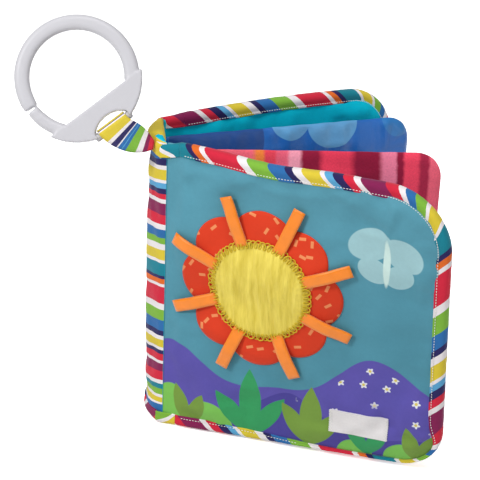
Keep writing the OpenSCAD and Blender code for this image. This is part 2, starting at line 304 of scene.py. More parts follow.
def leaf_shape(mat, cx, cz, length, width, lean):
    """1 inside a pointed leaf that stands on (cx, cz)."""
    a = math.radians(lean)
    x = (mat.u - cx) * math.cos(a) - (mat.v - cz) * math.sin(a)
    z = (mat.u - cx) * math.sin(a) + (mat.v - cz) * math.cos(a) - length / 2
    r = (length * length / 4 + width * width / 4) / width
    side = x.abs() + (r - width / 2)
    return span(side, z).under(r, 0.35)


# Materials

def make_print(name):
    """Sky with painted shade, rolling hills, leaves, small daisies and a pale butterfly."""
    m = Mat(name)
    u, v = m.u, m.v
    # The sky darkens towards the fore-edge and the bottom: painted shade.
    painted_shade = ((u * 0.35 - v * 0.9 + 75) / 160 + (m.noise(0.02, 2.0) - 0.5) * 0.5).clamp()
    colour = m.mix(painted_shade, linear(84, 148, 167), linear(66, 131, 150))
    pale = linear(158, 198, 204)
    for cx, cz, rx, rz, lean in (
        (102, 118, 11, 8, 25), (118, 116, 10, 8, -30), (104, 105, 8, 6, -20), (116, 104, 7, 6, 25)
    ):
        a = math.radians(lean)
        x = ((u - cx) * math.cos(a) + (v - cz) * math.sin(a)) / rx
        z = ((v - cz) * math.cos(a) - (u - cx) * math.sin(a)) / rz
        colour = m.mix(span(x, z).under(1.0, 0.05), colour, pale)
    colour = m.mix(blob(m, 110, 110, 1.7, 12), colour, linear(206, 232, 226))
    far = 31 + 17 * bell(u, 4, 24) + 26 * bell(u, 108, 27) + (u / 7).sin() * 1.2
    purple = m.mix((m.noise(0.03, 2.0) * 1.4 - 0.2).clamp(), linear(96, 84, 170), linear(84, 78, 162))
    colour = m.mix(v.under(far), colour, purple)
    near = 15 + 15 * bell(u, 64, 20) + (u / 5 + 1).sin() * 1.0
    colour = m.mix(v.under(near), colour, linear(74, 66, 148))
    dx, dz, r1, r2, _ = m.cells(1 / 12.0)
    radius = span(dx, dz)
    petals = 2.1 * (0.78 + 0.22 * (dz.turn(dx) * 5 + r2 * 6).cos())
    hill = v.under(far - 4.5, 0.5) * (far - v).under(26.0, 8.0) * (102 - u).abs().under(32.0, 4.0)
    hill = hill * (0.22 - r1).under(0.0, 0.01)
    colour = m.mix(radius.under(petals, 0.3) * hill, colour, linear(226, 226, 232))
    colour = m.mix(radius.under(0.75, 0.2) * hill, colour, linear(214, 196, 96))
    bright, deep, olive = linear(122, 190, 84), linear(52, 152, 92), linear(116, 150, 62)
    bushes = (4, 8, 11, 16), (24, 4, 13, 15), (98, 0, 9, 10), (122, 2, 10, 11), (137, 4, 8, 12)
    for cx, cz, rx, rz in bushes:
        colour = m.mix(blob(m, cx, cz, rx, rz), colour, bright)
    for cx, length, width, lean, shade in (
        (46, 30, 9, -34, deep), (46, 30, 9, 34, deep), (46, 40, 11, 0, deep), (14, 24, 8, -18, olive),
        (14, 22, 8, 22, olive), (76, 27, 9, -32, olive), (76, 27, 9, 32, olive), (76, 35, 11, 0, olive),
        (104, 22, 8, -25, deep), (104, 22, 8, 25, deep), (128, 22, 8, -14, olive), (128, 19, 7, 24, olive)
    ):
        colour = m.mix(leaf_shape(m, cx, 2, length, width, lean), colour, shade)
    m.cloth(colour, fade=0.16, bump=0.3)
    return m.material


def make_tape():
    m = Mat("tape")
    m.cloth(striped(m, m.u, TAPE_STRIPES), weave=2.8, fade=0.16)
    return m.material


def make_spine():
    m = Mat("spine_stripes")
    across = (m.u + 17.85) * 0.173 + (m.noise(0.05, 1.0) - 0.5) * 1.2
    m.cloth(striped(m, (147.6 - m.v - across) * 0.93, SPINE_STRIPES), weave=2.8, fade=0.14)
    return m.material


def make_plain(name, colour, **more):
    m = Mat(name)
    m.cloth(colour, **more)
    return m.material


def make_velour(name, table):
    m = Mat(name)
    place = m.u + (m.noise(0.35, 3.0) - 0.5) * 1.6
    total = sum(width for tone, width in table)
    stops, at = [], 0.0
    for colour, width in table:
        stops.append(((at + width * 0.12) / total, colour))
        stops.append(((at + width * 0.88) / total, colour))
        at += width
    colour = m.ramp((place / total).clamp(), stops, step=False)
    pile = m.noise(1.1, 4.0, rough=0.7)
    shade = (pile - 0.5) * 0.7 + 1.02 + (m.noise(0.05, 2.0) - 0.5) * 0.3
    m.shaded(colour, shade)
    m.finish(pile, 0.5, 0.35, 0.95, 0.5, 0.1)
    m.bsdf.inputs["Sheen Tint"].default_value = linear(255, 170, 190)
    return m.material


def make_satin(name, base, discs):
    """Satin with large printed discs: each is a middle, a radius and a colour."""
    m = Mat(name)
    u, v = m.u, m.v
    colour = base
    for cx, cz, r, tone in discs:
        colour = m.mix(span(u - cx, v - cz).under(r), colour, tone)
    m.shaded(colour, m.mottle(0.05, 3.0, 0.25))
    fine = m.noise(1.0, 1.0, m.vector(u * 0.5, v * 4.0)) * 0.4 + m.noise(0.22, 2.0) * 0.6
    m.finish(fine, 0.35, 0.8, 0.36, 0.05, 0.4)
    m.bsdf.inputs["Anisotropic"].default_value = 0.4
    return m.material


def make_petal():
    m = Mat("petal_cloth")
    dx, dz, _, r2, r3 = m.cells(1 / 8.2)
    angle = r2 * (2 * math.pi)
    along = dx * angle.cos() + dz * angle.sin()
    across = dz * angle.cos() - dx * angle.sin()
    dash = along.abs().under(1.7, 0.25) * across.abs().under(0.72, 0.25) * r3.under(0.86, 0.02)
    colour = m.mix(dash, linear(214, 58, 26), linear(232, 142, 90))
    m.cloth(colour, fade=0.12, rough=0.8)
    return m.material


def make_gathered():
    m = Mat("gathered_cloth")
    u, v = m.u, m.v
    # The light and dark streaks along the gathers are painted highlight on their ridges and painted shade in
    # their hollows.
    folds = m.noise(1.0, 3.0, m.vector(u * 0.32, v * 0.045), 0.6)
    colour = m.mix((folds * 1.8 - 0.4).clamp(), linear(196, 172, 40), linear(248, 228, 104))
    m.links.new(colour, m.bsdf.inputs["Base Color"])
    fine = m.noise(1.0, 3.0, m.vector(u * 0.9, v * 0.12), 0.6)
    m.finish(fine, 0.8, 0.9, 0.6, 0.2, 0.35)
    return m.material


def make_ribbon():
    m = Mat("orange_satin")
    ribs = (m.v * (2 * math.pi * 1.6)).sin() * 0.5 + 0.5
    m.shaded(linear(236, 128, 14), m.mottle(0.2, 2.0, 0.25))
    m.finish(ribs, 0.15, 0.1, 0.42, 0.2, 0.45)
    m.bsdf.inputs["Anisotropic"].default_value = 0.5
    return m.material


def make_strap():
    m = Mat("strap_stripes")
    ribs = (m.v * (2 * math.pi * 1.5)).sin() * 0.5 + 0.5
    m.shaded(striped(m, m.v, STRAP_STRIPES, 0.1), m.mottle(0.3, 2.0, 0.15))
    m.finish(ribs, 0.4, 0.15, 0.6, 0.15, 0.35)
    return m.material


def make_label():
    m = Mat("label_weave")
    ribs = (m.v * (2 * math.pi * 2.0)).sin() * (m.u * (2 * math.pi * 2.0)).sin()
    m.shaded(linear(226, 222, 222), m.mottle(0.8, 3.0, 0.12) + ribs * 0.03)
    m.finish(ribs, 0.4, 0.12, 0.6, 0.1, 0.35)
    return m.material


def make_thread(name, colour):
    m = Mat(name, uv=None)
    twist = m.noise(2.5, 2.0, m.mm())
    m.shaded(colour, (twist - 0.5) * 0.4 + 1.0)
    m.finish(twist, 0.4, 0.1, 0.7, 0.1, 0.3)
    return m.material


def make_plastic():
    m = Mat("ring_plastic", uv=None)
    place = m.mm()
    cloudy = m.noise(0.08, 3.0, place)
    m.shaded(linear(196, 195, 200), (cloudy - 0.5) * 0.05 + 1.0)
    rough = m.noise(0.4, 3.0, place) * 0.12 + 0.36
    m.finish(m.noise(0.25, 2.0, place), 0.06, 0.3, rough, 0.0, 0.4)
    m.bsdf.inputs["Subsurface Weight"].default_value = 0.15
    m.bsdf.inputs["Subsurface Radius"].default_value = (0.6, 0.6, 0.6)
    m.bsdf.inputs["Subsurface Scale"].default_value = MM
    return m.material


print_front = make_print("front_print")
print_back = make_print("back_print")
tape_cloth = make_tape()
spine_cloth = make_spine()
teal_cloth = make_plain("teal_lining", linear(0, 186, 212), fade=0.12, slub=0.05, sheen=0.0, specular=0.12)
V_RED, V_DARK = linear(224, 60, 86), linear(140, 26, 56)
V_PINK, V_PALE = linear(224, 92, 116), linear(236, 150, 170)
# The stripes nearest the hinge are made lighter than the cloth, as painted light against the shadow that the
# front cover casts on them.
red_velour = make_velour("red_velour", [
    (linear(240, 88, 98), 27.5), (linear(236, 100, 118), 14.8), (linear(232, 126, 58), 3.8),
    (linear(222, 66, 84), 6), (V_PINK, 5.8), (V_PALE, 6), (V_DARK, 9.5), (V_RED, 16), (V_DARK, 14),
    (linear(230, 122, 150), 7.5), (V_DARK, 2.8), (linear(236, 70, 96), 8.2), (linear(168, 40, 70), 4.6),
    (linear(240, 100, 122), 6)
])
pink_velour = make_velour("pink_velour", [
    (V_PINK, 30), (V_PALE, 9), (V_PINK, 34), (V_RED, 6), (V_PINK, 30), (V_PALE, 9), (V_PINK, 16)
])
S_DEEP, S_MID, S_LIGHT = linear(18, 72, 142), linear(40, 118, 186), linear(90, 158, 208)
blue_satin = make_satin("blue_satin", linear(22, 100, 182), [
    (26, 140, 25, S_DEEP), (66, 148, 11, S_LIGHT), (89, 145, 14, S_LIGHT), (126, 143, 9, S_MID),
    (8, 88, 14, S_MID), (46, 96, 15, S_LIGHT), (80, 106, 9, S_MID), (108, 98, 18, S_DEEP),
    (24, 50, 15, S_LIGHT), (60, 58, 12, S_DEEP), (92, 62, 15, S_MID), (123, 56, 10, S_LIGHT),
    (12, 14, 12, S_DEEP), (46, 22, 14, S_MID), (80, 22, 11, S_LIGHT), (112, 22, 16, S_DEEP)
])
sky_satin = make_satin("sky_satin", linear(62, 138, 186), [
    (20, 120, 12, S_LIGHT), (58, 126, 9, S_MID), (98, 118, 14, S_LIGHT), (40, 84, 14, S_MID),
    (82, 84, 10, S_LIGHT), (118, 78, 11, S_MID), (16, 46, 10, S_LIGHT), (62, 46, 13, S_LIGHT),
    (102, 40, 12, S_MID), (34, 18, 9, S_MID), (78, 16, 8, S_LIGHT), (120, 16, 9, S_LIGHT)
])
petal_cloth = make_petal()
gathered_cloth = make_gathered()
orange_satin = make_ribbon()
strap_cloth = make_strap()
label_weave = make_label()
white_thread = make_thread("white_thread", linear(236, 234, 230))
gold_thread = make_thread("gold_thread", linear(206, 178, 36))
plastic = make_plastic()


# Mesh helpers; all lengths here are in mm

def add_mesh(name, points, faces, uvs, materials, slots=None, smooth=True):
    """Makes an object from points in mm, with one UV pair a point."""
    mesh = bpy.data.meshes.new(name)
    mesh.from_pydata([Vector(p) * MM for p in points], [], faces)
    if uvs is not None:
        layer = mesh.uv_layers.new(name="Cloth")
        flat = np.empty(len(mesh.loops), dtype=np.int32)
        mesh.loops.foreach_get("vertex_index", flat)
        layer.data.foreach_set("uv", np.asarray(uvs, dtype=np.float32)[flat].ravel())
    for material in materials:
        mesh.materials.append(material)
    if slots is not None:
        mesh.polygons.foreach_set("material_index", slots)
    mesh.polygons.foreach_set("use_smooth", [smooth] * len(mesh.polygons))
    mesh.validate()
    obj = bpy.data.objects.new(name, mesh)
    bpy.context.scene.collection.objects.link(obj)
    return obj


def put(obj, points):
    metres = (np.asarray(points, dtype=np.float64) * MM).astype(np.float32)
    obj.data.vertices.foreach_set("co", metres.ravel())
    obj.data.update()


def points_of(obj, mesh=None):
    mesh = mesh or obj.data
    out = np.empty(len(mesh.vertices) * 3, dtype=np.float32)
    mesh.vertices.foreach_get("co", out)
    return out.reshape(-1, 3).astype(np.float64) / MM


def grid_faces(ni, nj, first=0, flip=False):
    faces = []
    for i in range(ni - 1):
        for j in range(nj - 1):
            a = first + i * nj + j
            quad = (a, a + nj, a + nj + 1, a + 1)
            faces.append(quad[::-1] if flip else quad)
    return faces


def soft_step(t):
    t = min(1.0, max(0.0, t))
    return t * t * (3 - 2 * t)


def wave(x, y=0.0, z=0.0, seed=0.0):
    """Smooth noise from -1 to 1."""
    return noise.noise(Vector((x + seed * 17.3, y - seed * 9.1, z + seed * 3.7)))


class Panel:
    """A cover or leaf: u runs from its hinge line to its fore-edge, v across it, and z up."""

    def __init__(self, body, hinge, angle, w, z0, z1, r_top, r_bottom, warp=None):
        self.body, self.hinge, self.w, self.z0, self.z1 = body, hinge, w, z0, z1
        self.r_top, self.r_bottom, self.angle, self.warp = r_top, r_bottom, math.radians(angle), warp

    def world(self, u, v, z):
        if self.warp:
            u, v, z = self.warp(u, v, z)
        c, s = math.cos(self.angle), math.sin(self.angle)
        return Vector((self.hinge[0] + u * c - v * s, self.hinge[1] + u * s + v * c, z))

    def edge(self, u, z):
        """Distance to the outline, and the place along it from the hinge line at the top, in mm."""
        w, z0, z1 = self.w, self.z0, self.z1
        rt, rb = self.r_top, self.r_bottom
        if u > w - rt and z > z1 - rt:
            x, y = u - (w - rt), z - (z1 - rt)
            return rt - math.hypot(x, y), w - rt + rt * math.atan2(x, y)
        arc = w - rt + rt * math.pi / 2
        if u > w - rb and z < z0 + rb:
            x, y = u - (w - rb), (z0 + rb) - z
            return rb - math.hypot(x, y), arc + (z1 - rt - z0 - rb) + rb * math.atan2(y, x)
        right, top, low = w - u, z1 - z, z - z0
        if top <= right and top <= low:
            return top, min(u, w - rt)
        if right <= low:
            return right, arc + (z1 - rt - z)
        return low, arc + (z1 - rt - z0 - rb) + rb * math.pi / 2 + (w - rb - u)

    def path(self, start, step):
        """Points along the outline from the hinge side at the top: (u, z, inward u, inward z, place)."""
        w, z0, z1, rt, rb = self.w, self.z0, self.z1, self.r_top, self.r_bottom
        out = []
        n = max(2, round((w - rt - start) / step))
        for i in range(n):
            out.append((start + (w - rt - start) * i / n, z1, 0, -1))
        n = max(3, round(rt * math.pi / 2 / step))
        for i in range(n):
            a = math.pi / 2 * i / n
            out.append((w - rt + rt * math.sin(a), z1 - rt + rt * math.cos(a), -math.sin(a), -math.cos(a)))
        n = max(2, round((z1 - rt - z0 - rb) / step))
        for i in range(n):
            out.append((w, z1 - rt + (z0 + rb - z1 + rt) * i / n, -1, 0))
        n = max(3, round(rb * math.pi / 2 / step))
        for i in range(n):
            a = math.pi / 2 * i / n
            out.append((w - rb + rb * math.cos(a), z0 + rb - rb * math.sin(a), -math.cos(a), math.sin(a)))
        n = max(2, round((w - rb - start) / step))
        for i in range(n + 1):
            out.append((w - rb + (start - w + rb) * i / n, z0, 0, 1))
        place, full = 0.0, []
        for i, (u, z, a, b) in enumerate(out):
            if i:
                place += math.hypot(u - out[i - 1][0], z - out[i - 1][1])
            full.append((u, z, a, b, start + place))
        return full


COVER_W, COVER_H = 139.5, 150.0
HINGE_X, COVER_HINGE_Y, LEAF_HINGE_Y = 5.1, 17.85, 5.95
FRONT_ANGLE, FRONT_TWIST = 27.25, 9.5


def front_warp(u, v, z):
    """The front cover's top leans outwards, and its lower fore-edge corner is lifted a little."""
    k, s = z / COVER_H, max(0.0, u) / COVER_W
    lean = max(0.0, u) * math.tan(math.radians(FRONT_TWIST * (0.5 - k)))
    dip = 2.0 * k * math.exp(-((s - 0.38) / 0.16) ** 2)
    return u + s * 1.4 * (1 - k), v + lean, z - dip + s * (-0.6 * k + 3.2 * max(0.0, 1 - k) ** 1.5)


def back_warp(u, v, z):
    """The back cover bows outwards a little, and its top edge is raised."""
    k, s = z / COVER_H, max(0.0, u) / COVER_W
    s = min(1.0, s)
    return u, v + 1.5 * math.sin(math.pi * s) * k, z + k * (0.8 * (1 - s) + 1.5 * math.sin(math.pi * s))


front_hinge = HINGE_X, -COVER_HINGE_Y
front = Panel("front_cover", front_hinge, -FRONT_ANGLE, COVER_W, 0, COVER_H, 30.0, 20.0, front_warp)
rear = Panel("back_cover", (HINGE_X, COVER_HINGE_Y), 26, COVER_W, 0, COVER_H, 27.0, 20.0, back_warp)
red = Panel("red_leaf", (HINGE_X, -LEAF_HINGE_Y), -2.2, 133.5, 6, 142, 13, 13)
blue = Panel("blue_leaf", (HINGE_X, LEAF_HINGE_Y), 16.4, 133.5, 6, 144.2, 13, 13)


# Padded panels

def corner_map(a, b):
    """Moves a point of a corner's square to its quarter circle."""
    m = max(a, b)
    if m <= 1e-9:
        return a, b
    angle = math.pi / 4 * (b / a) if a >= b else math.pi / 2 - math.pi / 4 * (a / b)
    return m * math.cos(angle), m * math.sin(angle)


def pad_grid(panel, u0, step, inset):
    """A regular grid of (u, z) over the panel, inset from its outline, with its corners rounded."""
    w, z0, z1 = panel.w - inset, panel.z0 + inset, panel.z1 - inset
    rt, rb = panel.r_top - inset, panel.r_bottom - inset
    nu, nz = round((w - u0) / step) + 1, round((z1 - z0) / step) + 1
    grid = []
    for i in range(nu):
        row = []
        for j in range(nz):
            u, z = u0 + (w - u0) * i / (nu - 1), z0 + (z1 - z0) * j / (nz - 1)
            if u > w - rt and z > z1 - rt:
                x, y = corner_map((u - w + rt) / rt, (z - z1 + rt) / rt)
                u, z = w - rt + rt * x, z1 - rt + rt * y
            elif u > w - rb and z < z0 + rb:
                x, y = corner_map((u - w + rb) / rb, (z0 + rb - z) / rb)
                u, z = w - rb + rb * x, z0 + rb - rb * y
            row.append((u, z))
        grid.append(row)
    return grid


def two_layers(name, near, far, uv, materials, smooth=True):
    """A closed pad from two grids of points, joined round their borders."""
    ni, nj = len(near), len(near[0])
    points = [p for row in near for p in row] + [p for row in far for p in row]
    uvs = [p for row in uv for p in row] * 2
    n = ni * nj
    faces = grid_faces(ni, nj, 0)
    slots = [0] * len(faces)
    other = grid_faces(ni, nj, n, flip=True)
    faces += other
    slots += [1] * len(other)
    ring = [(i, 0) for i in range(ni)] + [(ni - 1, j) for j in range(1, nj)]
    ring += [(i, nj - 1) for i in range(ni - 2, -1, -1)] + [(0, j) for j in range(nj - 2, 0, -1)]
    for k, (i, j) in enumerate(ring):
        a, b = ring[(k + 1) % len(ring)]
        p, q = i * nj + j, a * nj + b
        faces.append((p, p + n, q + n, q))
        slots.append(0)
    return add_mesh(name, points, faces, uvs, materials, slots if len(materials) > 1 else None, smooth)


CLOTH_FRAMES, CLOTH_PRESSURE, CLOTH_SLACK = 20, 0.6, -0.03


def swell(obj, pins):
    """Sets up Blender's cloth on a pad, held where pins is 1."""
    group = obj.vertex_groups.new(name="pin")
    for i, weight in enumerate(pins):
        if weight > 0:
            group.add([i], weight, "REPLACE")
    cloth = obj.modifiers.new("cloth", "CLOTH")
    s = cloth.settings
    s.quality = 6
    s.mass = 0.00002
    s.vertex_group_mass = "pin"
    s.use_pressure = True
    s.uniform_pressure_force = CLOTH_PRESSURE
    s.effector_weights.gravity = 0.0
    s.shrink_min = CLOTH_SLACK
    s.tension_stiffness = s.compression_stiffness = 8
    s.shear_stiffness = 3
    s.bending_stiffness = 0.05
    s.tension_damping = s.compression_damping = 5
    s.air_damping = 2
    cloth.collision_settings.use_collision = False
    cloth.collision_settings.use_self_collision = False


def run_cloth(objects):
    """Runs the cloth and gives back the pads' swollen points."""
    scene = bpy.context.scene
    scene.frame_start, scene.frame_end = 1, CLOTH_FRAMES
    for f in range(1, CLOTH_FRAMES + 1):
        scene.frame_set(f)
    graph = bpy.context.evaluated_depsgraph_get()
    shapes = {}
    for obj in objects:
        made = obj.evaluated_get(graph)
        mesh = made.to_mesh()
        shapes[obj.name] = points_of(obj, mesh)
        made.to_mesh_clear()
    for obj in objects:
        obj.modifiers.remove(obj.modifiers["cloth"])
    scene.frame_set(1)
    return shapes


def applied(obj):
    """Makes an object's modifiers final."""
    graph = bpy.context.evaluated_depsgraph_get()
    mesh = bpy.data.meshes.new_from_object(obj.evaluated_get(graph))
    obj.modifiers.clear()
    obj.vertex_groups.clear()
    obj.data = mesh
    return mesh


def refine(obj):
    """Subdivides a piece's mesh for good."""
    part = obj.modifiers.new("fine", "SUBSURF")
    part.levels = part.render_levels = 1
    applied(obj)


def fold_half(u, half, thin=1.15, start=2.0, end=12.0):
    """Half thickness near the hinge, from a flat fold to the padded panel."""
    return thin + (half - thin) * soft_step((u - start) / (end - start))


def panel_pad(name, panel, materials, start, inset, outer, half_of, held_edge, held_fold):
    """A pad between a panel's fold and outline. Its first layer is on the side that outer names."""
    grid = pad_grid(panel, start, STEP, inset)
    near, far, pins = [], [], []
    for row in grid:
        sized = [(u, z, panel.edge(u, z)[0]) for u, z in row]
        near.append([(u, outer * half_of(u, d), z) for u, z, d in sized])
        far.append([(u, -outer * half_of(u, d), z) for u, z, d in sized])
        pins += [1.0 if d < held_edge or u < held_fold else 0.0 for u, z, d in sized]
    return two_layers(name, near, far, grid, materials), pins + pins


def cover_half(u, d):
    return fold_half(u, 2.3 + 0.5 * soft_step(d / 14))


def leaf_half(u, d):
    half = 0.35 + 2.6 * math.sqrt(min(1.0, max(0.0, d) / 12))
    return min(half, fold_half(u, half, 0.9))


STEP = 2.9
# The spine's outer face is an arc of this radius about this middle
SPINE_R, SPINE_CX, SPINE_IN = 30.94, 27.44, 3.5
SPINE_HALF, SPINE_FOLD_X, SPINE_PAD_H, SPINE_HELD = 19.1, 4.7, 149, 5


def spine_out(y):
    return SPINE_CX - math.sqrt(SPINE_R ** 2 - y * y)


def spine_pad():
    ny, nz = 17, round(SPINE_PAD_H / STEP) + 1
    near, far, uv, pins = [], [], [], []
    for i in range(ny):
        a, b, c = [], [], []
        t = -1 + 2 * i / (ny - 1)
        y = SPINE_HALF * t
        for j in range(nz):
            z = 0.5 + SPINE_PAD_H * j / (nz - 1)
            x = spine_out(min(18.9, abs(y))) + 0.25
            if abs(t) == 1:
                x = SPINE_FOLD_X
            a.append((x, y, z))
            b.append((SPINE_IN - 0.1 + 0.4 * t * t, y * 0.985, z))
            c.append((y, z))
            held = i in (0, 1, ny - 2, ny - 1) or z < SPINE_HELD or z > COVER_H - SPINE_HELD
            pins.append(1.0 if held else 0.0)
        near.append(a)
        far.append(b)
        uv.append(c)
    return two_layers("spine_pad", far, near, uv, [teal_cloth, spine_cloth]), pins + pins


COVER_FOLDS, LEAF_FOLDS = (cover_half, 5.2, 3.0), (leaf_half, 1.0, 2.5)
front_pad, front_pins = panel_pad("front_pad", front, [print_front, teal_cloth], -1.6, 1.0, -1, *COVER_FOLDS)
back_pad, back_pins = panel_pad("back_pad", rear, [print_back, teal_cloth], -1.6, 1.0, 1, *COVER_FOLDS)
red_pad, red_pins = panel_pad("red_pad", red, [red_velour, pink_velour], -1.0, 0.0, -1, *LEAF_FOLDS)
blue_pad, blue_pins = panel_pad("blue_pad", blue, [blue_satin, sky_satin], -1.0, 0.0, -1, *LEAF_FOLDS)
spine_body, spine_pins = spine_pad()
# Each pad with its held points, its panel, and how far the cloth may move it
PADS = {
    "front_pad": (front_pad, front_pins, front, 3.6), "back_pad": (back_pad, back_pins, rear, 3.2),
    "red_pad": (red_pad, red_pins, red, 2.2), "blue_pad": (blue_pad, blue_pins, blue, 2.2),
    "spine_pad": (spine_body, spine_pins, None, 1.2)
}

rest_points = {name: points_of(item[0]) for name, item in PADS.items()}
for obj, pins, _, _ in PADS.values():
    swell(obj, pins)
swollen = run_cloth([item[0] for item in PADS.values()])
for name in PADS:
    move = np.linalg.norm(swollen[name] - rest_points[name], axis=1)
    print(f"cloth {name} largest move {move.max():.2f} mean {move.mean():.2f}")


def settle(name, extra):
    """Puts a pad's swollen shape in place, its motion capped, then subdivides it and adds its own puckers."""
    obj, _, panel, cap = PADS[name]
    rest = rest_points[name]
    move = swollen[name] - rest
    long = np.linalg.norm(move, axis=1)
    scale = np.where(long > 1e-6, cap * np.tanh(long / cap) / np.maximum(long, 1e-6), 1.0)
    points = rest + move * scale[:, None]
    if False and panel:
        for k, (u, v, z) in enumerate(rest):
            d = panel.edge(u, z)[0]
            grow = cap * 0.75 * soft_step((d - 4) / 26) * soft_step((u - 2) / 14)
            points[k][1] += math.copysign(grow, v)
    if panel:
        side = np.sign(rest[:, 1])
        points[:, 1] = side * np.maximum(side * points[:, 1], np.abs(rest[:, 1]))
    put(obj, points)
    refine(obj)
    if extra:
        put(obj, [extra(*p) for p in points_of(obj)])


def cover_puckers(panel, seed):
    def change(u, v, z):
        d, s = panel.edge(u, z)
        side = 1 if v > 0 else -1
        near = math.exp(-max(0.0, d - 6) / 22) * soft_step((d - 4.5) / 5) * soft_step((u - 2) / 10)
        ridge = 1.3 * wave(s / 13.0, d / 60.0, side * 3.0, seed)
        ridge += 0.35 * wave(s / 6.0, d / 40.0, side * 5.0, seed + 1)
        broad = 1.3 * wave(u / 30.0, z / 34.0, side * 2.0, seed + 2)
        broad += 0.7 * wave(u / 13.0, z / 15.0, side * 4.0, seed + 3)
        inside = soft_step((d - 6) / 18) * soft_step((u - 3) / 12)
        more = near * 1.5 * ridge + inside * broad
        return u, side * max(min(1.2, abs(v)), abs(v) + more), z
    return change


def leaf_puckers(panel, seed, depth, pitch):
    def change(u, v, z):
        d, s = panel.edge(u, z)
        side = 1 if v > 0 else -1
        near = math.exp(-d / 14.0) * soft_step(d / 3.0) * soft_step((u - 2) / 8)
        ridge = wave(s / pitch, d / 50.0, side * 3.0, seed)
        ridge += 0.4 * wave(s / (pitch * 0.4), d / 30.0, side * 5.0, seed + 1)
        broad = 0.8 * wave(u / 30.0, z / 34.0, side * 2.0, seed + 2)
        inside = soft_step(d / 14) * soft_step((u - 3) / 12)
        more = near * depth * ridge + inside * broad
        dip = 0.25 * math.exp(-d / 3) * wave(s / pitch, 0, 0, seed + 4)
        return u, side * max(min(0.7, abs(v)), abs(v) + more), z - dip
    return change


settle("front_pad", cover_puckers(front, 1.0))
settle("back_pad", cover_puckers(rear, 2.0))
settle("red_pad", leaf_puckers(red, 3.0, 0.7, 9.0))
settle("blue_pad", leaf_puckers(blue, 4.0, 1.7, 6.5))
settle("spine_pad", None)


# Surface of the front cover before it is put in place, for the pieces sewn on it

def surface(obj):
    mesh = obj.data
    points = points_of(obj)
    polygons = [list(p.vertices) for p in mesh.polygons]
    return BVHTree.FromPolygons([Vector(p) for p in points], polygons)


front_tree = surface(front_pad)


def front_height(u, z):
    """How far out the printed face lies at (u, z), as a positive number."""
    hit = front_tree.ray_cast(Vector((u, -30, z)), Vector((0, 1, 0)))
    return -hit[0].y if hit[0] else 2.5


SIXTH_TURN = 1.047


def even_height(u, z, r=2.0):
    """The height at a point and at six round it, evened out."""
    n = 0.0
    for a in range(6):
        n += front_height(u + r * math.cos(a * SIXTH_TURN), z + r * math.sin(a * SIXTH_TURN))
    return (n + front_height(u, z)) / 7


def place(obj, panel):
    """Takes a piece from its panel's own frame to its place in the book."""
    put(obj, [panel.world(*p) for p in points_of(obj)])


# Binding tape

TAPE_W, TAPE_OUT = 13.0, 6.5


def tape_half(u):
    """Half thickness of a bound edge, thinner near the fold."""
    return fold_half(u, 3.2, 1.9, 3.0, 14.0)


def tape_section(wo, wi, h):
    """Section round an edge: (distance inwards, across, developed place)."""
    shape = [
        (1.0, 0.84), (0.975, 0.99), (0.90, 1.0), (0.80, 0.93), (0.66, 1.01), (0.45, 1.08), (0.25, 1.02),
        (0.10, 0.78), (0.015, 0.38)
    ]
    out = []
    for d, v in shape:
        out.append((wo * d, -h * v, wo * (1 - d)))
    for d, v in reversed(shape):
        out.append((wi * d, h * v, wo + wi * d))
    for d, v in ((0.96, 0.62), (0.5, 0.72), (0.16, 0.45)):
        out.append((wi * d + 0.25, h * v, wo + wi * d))
    for d, v in ((0.16, 0.45), (0.5, 0.72), (0.96, 0.62)):
        out.append((wo * d + 0.25, -h * v, wo * (1 - d)))
    return out


def sweep(name, rows, uvs, material):
    """A closed tube through rows of points, with its ends closed."""
    n, m = len(rows), len(rows[0])
    points = [p for row in rows for p in row]
    flat = [p for row in uvs for p in row]
    faces = []
    for i in range(n - 1):
        for j in range(m):
            k = (j + 1) % m
            faces.append((i * m + j, i * m + k, (i + 1) * m + k, (i + 1) * m + j))
    faces.append(tuple(range(m - 1, -1, -1)))
    faces.append(tuple((n - 1) * m + j for j in range(m)))
    return add_mesh(name, points, faces, flat, [material])


def outer_width(panel, u, z):
    """How much of the tape shows on the outer face. On the front cover it creeps inwards along the bottom."""
    if panel is not front:
        return TAPE_OUT
    low = soft_step((30 - z) / 22) * soft_step((u - 22) / 75)
    return TAPE_OUT - 4.3 * low


def cover_tape(name, panel, outer, start, place_of):
    """place_of gives the stripe place from the place along the edge and the one across the tape."""
    rows, uvs = [], []
    for u, z, a, b, s in panel.path(start, 1.8):
        wo = outer_width(panel, u, z)
        wi = TAPE_W - wo
        h = tape_half(u) * (1 + 0.05 * wave(s / 9.0, 0, 0, 5))
        row, flat = [], []
        for d, v, w in tape_section(wo, wi, h):
            puff = 0.16 * wave(s / 4.5, w / 4.0, 0, 6) + 0.12 * wave(s / 1.9, w / 3.0, 0, 7)
            wave_in = 0.25 * wave(s / 8.0, 0, 0, 8)
            dd = d + (wave_in if d > 4 else 0) - (puff if d < 1.5 else 0)
            vv = v * (1 + 0.05 * wave(s / 5.0, w / 5.0, 1.0, 9)) + math.copysign(puff if d >= 1.5 else 0, v)
            row.append(panel.world(u + a * max(0.0, dd), -outer * vv, z + b * max(0.0, dd)))
            flat.append((place_of(s, w), w))
        rows.append(row)
        uvs.append(flat)
    return sweep(name, rows, uvs, tape_cloth)


front_tape = cover_tape("front_tape", front, -1, 6.0, lambda s, w: s + w - 15.5)
BACK_AT = 97.0
back_tape = cover_tape("back_tape", rear, 1, 9.0, lambda s, w: BACK_AT - s + w)


# Stitches

STITCH_PITCH, STITCH_INSET, STITCH_HALF, STITCH_R = 1.5, 1.15, 0.46, 0.18
THREAD_SIDES = 6


